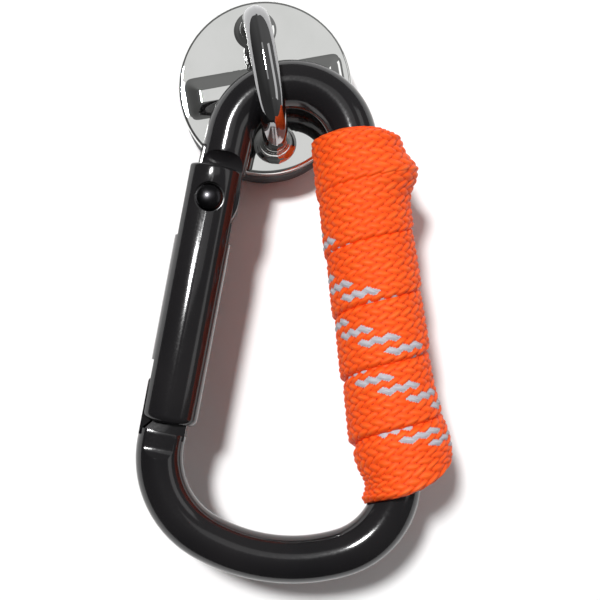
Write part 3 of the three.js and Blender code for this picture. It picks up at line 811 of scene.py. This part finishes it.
def gate_tube():
    low, high = GATE_TIP_ROUNDING, GATE_TOP_ROUNDING
    lower = [(GATE_RADIUS - low * (1 - math.sin(a)), -GATE_TIP + low * (1 - math.cos(a)))
             for a in np.linspace(0, math.pi / 2, 9)]
    upper = [(GATE_RADIUS - high * (1 - math.cos(a)), GATE_TOP - high * (1 - math.sin(a)))
             for a in np.linspace(0, math.pi / 2, 6)]
    gate = turned_down([(0, -GATE_TIP)] + lower + upper + [(0, GATE_TOP)], 96)
    swing = GATE_TOP_SWING
    keep = [(swing * math.cos(a), swing * math.sin(a)) for a in np.linspace(0, math.pi, 40)]
    keep += [(-swing, -GATE_TIP - 2), (swing, -GATE_TIP - 2)]
    combine(gate, prism("tool", keep, -FAR, FAR), "INTERSECT")
    slot = [(-FAR, -HINGE_SLOT_END), (FAR, -HINGE_SLOT_END), (FAR, FAR), (-FAR, FAR)]
    combine(gate, prism("tool", slot, -SLOT_HALF, SLOT_HALF), "DIFFERENCE")
    inner = NOSE_INNER + 0.3
    slot = [(-FAR, -GATE_TIP - 1), (inner, -GATE_TIP - 1), (inner, -NOSE_SLOT_START),
            (-FAR, -NOSE_SLOT_START)]
    combine(gate, prism("tool", slot, -SLOT_HALF, SLOT_HALF), "DIFFERENCE")
    combine(gate, bar("tool", 2, (0, 0), BORE_RADIUS, -BORE_END, -HINGE_SLOT_END + 1, 40), "DIFFERENCE")
    combine(gate, bar("tool", 1, (0, 0), PIN_HOLE, -FAR, FAR, 40), "DIFFERENCE")
    for start, end in ((-FAR, -RIVET_SEAT), (RIVET_SEAT, FAR)):
        combine(gate, bar("tool", 1, (0, 0), RIVET_RECESS, start, end, 64), "DIFFERENCE")
    soften(gate, 0.14)
    move_mesh(gate, HANG @ GATE_FRAME)
    shade_by_angle(gate, 40)
    return gate


RIVET_HEAD = 2.28
RIVET_DOME = 1.12          # height of the domed head
RIVET_SHANK = 1.3


def hinge_rivet():
    seat = RIVET_SEAT + 0.3
    dome = [(RIVET_HEAD * math.sin(a), -(seat - 0.1) - RIVET_DOME * math.cos(a))
            for a in np.linspace(0, math.pi / 2, 14)]
    front = dome + [(RIVET_HEAD, -seat + 0.05), (2.1, -seat + 0.12)]
    shank = [(RIVET_SHANK, -seat + 0.12), (RIVET_SHANK, seat - 0.12)]
    profile = front + shank + [(r, -y) for r, y in front[::-1]]
    rivet = lathe("rivet", profile, 64)
    fix_normals(rivet)
    shade_by_angle(rivet, 45)
    move_mesh(rivet, HANG @ GATE_FRAME)
    return rivet


finish_piece(gate_tube(), BLACK, "gate_arm", ["gate"])
finish_piece(hinge_rivet(), RIVET, "gate_arm", ["hinge_rivet"])


# ---------------------------------------------------------------- cord wound on the spine

TAPE_WIDTH = 12.3
TAPE_RADIUS = 7.72         # outer radius at the lower edge of each turn
YARN_ANGLE = math.radians(26.6)
YARN_WIDTH = 1.03
YARN_HEIGHT = 0.47
BACK_LEVEL = 6.3           # the cord is pressed flatter behind this, to pass over the cap's rib
BACK_SHARE = 0.42
TRACER_EVERY = 18          # yarns from one tracer group to the next
TRACER_SHIFT = 8
TRACER_YARNS = 3
FIRST_TURN, LAST_TURN = -0.42, 5.72
TOP_LIMIT = -1.1
TOP_TILT = 0.9             # how much lower the top edge is at the right
START_TILT = 2.3           # extra slope of the tape's lower edge where it starts


def lower_edge(turns):
    """Distance down the spine to the lower edge of the tape, after so many turns."""
    swing = 0.9 * np.sin(2 * math.pi * turns)
    level = 60.3 - 11.15 * turns + 0.15 * turns ** 2 + swing
    late = np.maximum(turns - 4.9, 0)
    return level + 3.2 * late ** 1.6


def start_shift(turns):
    """How much further down the lower edge is in the first turn, where the tape is spread."""
    tilt = START_TILT * np.sin(2 * math.pi * turns) * smooth((0.75 - turns) / 0.5)
    return -tilt - 12 * np.maximum(-0.25 - turns, 0)


def spine_place(down):
    """Points of the rod's centre line at distances down the spine, and their outward normals."""
    angle = np.where(down < 0, -down / TOP_RADIUS,
                     np.where(down > SPINE_LENGTH, -(down - SPINE_LENGTH) / SPINE_CORNER, 0.0))
    x = np.where(down > SPINE_LENGTH, spine_corner.x + SPINE_CORNER * np.cos(angle),
                 np.where(down < 0, TOP_RADIUS * np.cos(angle), TOP_RADIUS))
    z = np.where(down > SPINE_LENGTH, -SPINE_LENGTH + SPINE_CORNER * np.sin(angle),
                 np.where(down < 0, TOP_RADIUS * np.sin(angle), -down))
    return x, z, np.cos(angle), np.sin(angle)


def braid(u, v):
    """Height, tracer mark and yarn coordinates of a two over two braid."""
    a = (u * math.sin(YARN_ANGLE) + v * math.cos(YARN_ANGLE)) / YARN_WIDTH
    b = (u * math.sin(YARN_ANGLE) - v * math.cos(YARN_ANGLE)) / YARN_WIDTH
    i, j = np.floor(a), np.floor(b)
    phase = np.mod(j - i, 4)
    first_on_top = phase < 2
    start_b = np.where(phase == 0, j, j - 1)
    start_a = np.where(phase == 3, i, i - 1)
    across = np.where(first_on_top, a - i - 0.5, b - j - 0.5)
    along = np.where(first_on_top, (b - start_b) / 2, (a - start_a) / 2)
    section = np.sqrt(np.clip(1 - (2 * across) ** 2, 0, 1))
    arch = 1 - np.abs(2 * along - 1) ** 2.4
    crown = section * (0.2 + 0.8 * arch)
    group = np.mod(i - TRACER_SHIFT, TRACER_EVERY)
    tracer = np.where(first_on_top & (group < TRACER_YARNS), 1.0, 0.0)
    yarn = np.stack([along * 2.6, across * YARN_WIDTH, np.where(first_on_top, i, j + 57)], -1)
    return crown, tracer, yarn


TAPE_TAPER = 0.4           # loss of radius from the tape's lower edge to its upper one
TAPE_EDGE = 1.35           # rounding of the lower edge
TUCK_WIDTH = 2.8           # strip along the upper edge that dips under the next turn
TUCK_DEPTH = 1.35
RIM_HEIGHT = 2.2           # the last turn curls in over this height at the top
LEAN = 0.35                # how far the winding sits to the right of the rod's centre
LOW_BULGE = (1.6, 52.5, 6.0)  # depth, place down the spine and half-length of each bulge
HIGH_BULGE = (2.1, 7.2, 2.8)
THIN_END = (2.2, 51, 11)   # depth, start and length of the thinner lower end at the left
END_LENGTH = 0.06          # turns over which the tape thins at its two ends
END_DEPTH = 1.6
ROD_CLEAR = 4.3            # the cord stays out of the rod
COLUMN_STEP = 0.21
ROWS = 66
# The tape's underside, from the upper edge to the lower one.
UNDERSIDE_V = np.array([TAPE_WIDTH - 0.4, TAPE_WIDTH * 0.75, TAPE_WIDTH * 0.5, 3.2, 1.6, 0.35])
UNDERSIDE_RADIUS = np.array([4.45, 4.45, 4.45, 4.6, 5.6, 6.0])


def bulge(down, shape):
    depth, place, half_length = shape
    return depth * np.exp(-((down - place) / half_length) ** 2)


def tape_section(outer):
    """Radius across the tape, from its rounded lower edge to the tucked upper one."""
    v = outer * TAPE_WIDTH
    sagitta = np.sqrt(np.clip(TAPE_EDGE ** 2 - (TAPE_EDGE - v) ** 2, 0, None))
    rounding = np.where(v < TAPE_EDGE, TAPE_EDGE - sagitta, 0)
    tuck = TUCK_DEPTH * smooth((v - (TAPE_WIDTH - TUCK_WIDTH)) / TUCK_WIDTH)
    return TAPE_RADIUS - TAPE_TAPER * outer - rounding - tuck


def tape_face(turns, phi, outer, down, top):
    """The outer face's radius without its yarns, its places down the spine, and where it is
    past the top."""
    over = np.clip((top + RIM_HEIGHT - down) / RIM_HEIGHT, 0, None)
    rim = np.clip(over, 0, 1)
    squeezed = top + RIM_HEIGHT - RIM_HEIGHT * np.tanh(over) / math.tanh(3.0)
    down = np.where(over > 0, squeezed, down)
    radius = np.broadcast_to(tape_section(outer), down.shape).copy()
    radius -= RIM_HEIGHT * (1 - np.sqrt(np.clip(1 - rim ** 2, 0.02, 1)))
    right_side = np.clip(np.sin(phi), 0, 1)[:, None]
    left_side = np.clip(-np.sin(phi), 0, 1)[:, None]
    radius += (bulge(down, LOW_BULGE) + bulge(down, HIGH_BULGE)) * right_side
    radius += LEAN * np.sin(phi)[:, None]
    thin_depth, thin_start, thin_length = THIN_END
    radius -= thin_depth * smooth((down - thin_start) / thin_length) * left_side
    from_start = smooth((turns - FIRST_TURN) / END_LENGTH)
    to_end = smooth((LAST_TURN - turns) / END_LENGTH)
    radius -= END_DEPTH * (1 - from_start * to_end)[:, None]
    return radius, down, over > 0


def tape_underside(turns, shift, top, radius):
    down = lower_edge(turns)[:, None] - UNDERSIDE_V[None, :]
    down = down + shift * (1 - UNDERSIDE_V[None, :] / TAPE_WIDTH)
    down = np.maximum(down, top + 0.4)
    inner = np.broadcast_to(UNDERSIDE_RADIUS, down.shape).copy()
    inner = np.minimum(inner, radius[:, :1] - 0.25)
    inner = np.maximum(inner, ROD_CLEAR + 0.1)
    inner[:, 0] = np.minimum(inner[:, 0], np.maximum(radius[:, -1] - 0.3, ROD_CLEAR))
    return inner, down


def around_spine(phi, radius, down):
    """Points at a radius from the rod, with the back pressed flatter."""
    x, z, nx, nz = spine_place(down)
    sin_phi = np.sin(phi)[:, None]
    y = -radius * np.cos(phi)[:, None]
    y = np.where(y > BACK_LEVEL, BACK_LEVEL + (y - BACK_LEVEL) * BACK_SHARE, y)
    return np.stack([x + radius * sin_phi * nx, y, z + radius * sin_phi * nz], -1)


def add_attribute(mesh, name, kind, field, values, columns):
    """Writes values on the outer face's points. The underside's points get 0."""
    spare = columns - values.shape[1]
    pad = ((0, 0), (0, spare)) + ((0, 0),) * (values.ndim - 2)
    layer = mesh.attributes.new(name, kind, "POINT")
    layer.data.foreach_set(field, np.pad(values, pad).astype(np.float32).ravel())


def cord_winding():
    columns = int((LAST_TURN - FIRST_TURN) * 2 * math.pi * TAPE_RADIUS / COLUMN_STEP)
    turns = np.linspace(FIRST_TURN, LAST_TURN, columns)
    phi = 2 * math.pi * turns
    outer = np.linspace(0, 1, ROWS)
    v = outer * TAPE_WIDTH
    shift = start_shift(turns)[:, None]
    top = TOP_LIMIT + TOP_TILT * np.sin(phi)[:, None]
    down = lower_edge(turns)[:, None] - v[None, :] + shift * (1 - outer[None, :])
    radius, down, past_top = tape_face(turns, phi, outer, down, top)
    u = (phi * TAPE_RADIUS)[:, None] + 0 * v[None, :]
    crown, tracer, yarn = braid(u, v[None, :] + 0 * u)
    tracer = np.where(past_top, 0.0, tracer)
    radius += YARN_HEIGHT * (crown - 0.6)
    inner, inner_down = tape_underside(turns, shift, top, radius)
    all_down = np.concatenate([down, inner_down], 1)
    all_radius = np.maximum(np.concatenate([radius, inner], 1), ROD_CLEAR)
    points = around_spine(phi, all_radius, all_down)
    count = all_down.shape[1]
    faces = grid_faces(columns, count, close_columns=True)
    faces.append(tuple(range(count)))
    last = (columns - 1) * count
    faces.append(tuple(last + k for k in reversed(range(count))))
    obj = mesh_object("cord_winding", points.reshape(-1, 3), faces)
    fix_normals(obj)
    add_attribute(obj.data, "tracer", "FLOAT", "value", tracer, count)
    add_attribute(obj.data, "crown", "FLOAT", "value", crown, count)
    add_attribute(obj.data, "yarn", "FLOAT_VECTOR", "vector", yarn, count)
    move_mesh(obj, HANG)
    return obj


finish_piece(cord_winding(), BRAID, "carabiner", ["cord_wrap"])


# ---------------------------------------------------------------- stage

WALL_SIZE = 240.0
wall = mesh_object("wall", [
    (-WALL_SIZE, 0.15, -WALL_SIZE), (WALL_SIZE, 0.15, -WALL_SIZE),
    (WALL_SIZE, 0.15, WALL_SIZE), (-WALL_SIZE, 0.15, WALL_SIZE),
], [(0, 1, 2, 3)])
wall.data.materials.append(wall_material())

AIM = photo_axes(3, -18, -33)


def lamp(name, azimuth, elevation, distance, size, watts, size_y=None):
    """An area lamp aimed at the object. Angles are seen from the object, azimuth to the right."""
    az, el = math.radians(azimuth), math.radians(elevation)
    away = photo_axes(math.sin(az) * math.cos(el), -math.cos(az) * math.cos(el), math.sin(el))
    data = bpy.data.lights.new(name, "AREA")
    data.shape = "DISK" if size_y is None else "RECTANGLE"
    data.size = size * MM
    if size_y is not None:
        data.size_y = size_y * MM
    data.energy = watts
    obj = bpy.data.objects.new(name, data)
    bpy.context.scene.collection.objects.link(obj)
    obj.location = (AIM + away * distance) * MM
    obj.rotation_mode = "QUATERNION"
    obj.rotation_quaternion = away.to_track_quat("Z", "Y")
    return obj


lamp("key", azimuth=-12, elevation=15, distance=1200, size=150, watts=14.6)
lamp("front_card", azimuth=0, elevation=17, distance=620, size=420, size_y=260, watts=0.2)
lamp("right_box", azimuth=52, elevation=8, distance=480, size=160, size_y=460, watts=0.23)

world = bpy.data.worlds.new("studio")
world.use_nodes = True
bpy.context.scene.world = world
nodes, links = world.node_tree.nodes, world.node_tree.links
direction = nodes.new("ShaderNodeTexCoord").outputs["Generated"]
toward = nodes.new("ShaderNodeVectorMath")
toward.operation = "DOT_PRODUCT"
links.new(direction, toward.inputs[0])
toward.inputs[1].default_value = photo_axes(0.62, -0.2, 0.75)
level = ramp(nodes, links, toward.outputs["Value"], (-0.5, 0.06), (0.95, 0.2))
background = nodes["Background"]
background.inputs["Color"].default_value = (1, 1, 1, 1)
strength = nodes.new("ShaderNodeMix")
strength.inputs["B"].default_value = 1
links.new(nodes.new("ShaderNodeLightPath").outputs["Is Camera Ray"], strength.inputs["Factor"])
links.new(level, strength.inputs["A"])
links.new(strength.outputs["Result"], background.inputs["Strength"])

bpy.context.scene.view_settings.view_transform = "Standard"
